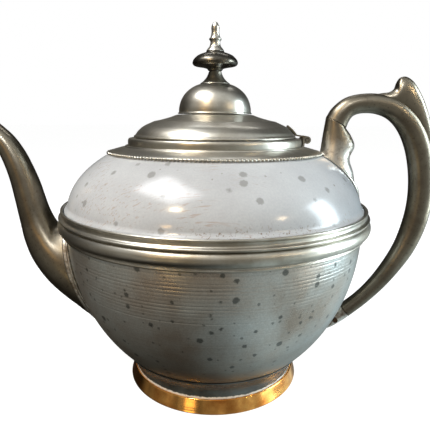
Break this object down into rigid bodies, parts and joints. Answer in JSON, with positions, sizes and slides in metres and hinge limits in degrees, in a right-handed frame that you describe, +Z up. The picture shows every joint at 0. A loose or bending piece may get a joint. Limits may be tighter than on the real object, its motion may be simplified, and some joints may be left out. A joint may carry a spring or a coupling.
{
  "type": "teapot",
  "caption": "Round-bellied teapot with a grey speckled body, white-metal band, collar, spout, loop handle and hinged domed lid with a turned finial, on a flared copper foot.",
  "frame": {"origin": "centre of the flat underside of the copper foot, on the table", "axes": "+Z up along the pot's axis, +X towards the handle, the spout points to -X, and the part is mirrored in the XZ plane"},
  "size_m": [0.2739, 0.183, 0.2123],
  "materials": {
    "enamel_pale": "glossy pale grey enamel with dark specks",
    "enamel_slate": "satin slate grey enamel, ringed with fine grooves",
    "white_metal": "spun white metal, dull polish",
    "cast_metal": "cast white metal with a brown patina",
    "copper": "polished copper"
  },
  "bodies": {
    "pot": {"upper_dome": "enamel_pale", "lower_bowl": "enamel_slate", "foot_shell": "enamel_slate", "waist_band": "white_metal", "collar": "white_metal", "mouth_ring": "white_metal", "handle_socket": "white_metal", "socket_plate": "white_metal", "hinge_leaf": "white_metal", "hinge_pin": "white_metal", "spout": "cast_metal", "spout_flange": "cast_metal", "handle": "cast_metal", "thumb_rest": "cast_metal", "handle_lug": "cast_metal", "copper_base": "copper", "lug_pin": "copper", "lug_rivet_near": "copper", "lug_rivet_far": "copper", "socket_rivet_near": "copper", "socket_rivet_far": "copper"},
    "lid": {"lid_cover": "white_metal", "lid_sleeve": "white_metal", "lid_crown": "white_metal", "finial_skirt": "white_metal", "finial_knob": "cast_metal", "finial_spire": "white_metal", "finial_stud": "white_metal", "finial_washer": "white_metal", "finial_nut": "white_metal", "lid_strap": "white_metal"}
  },
  "joints": [
    {"name": "lid_hinge", "type": "hinge", "parent": "pot", "child": "lid", "pos_m": [0.0534, 0, 0.1482], "axis": [0, 1, 0], "range_deg": [0, 95]}
  ]
}
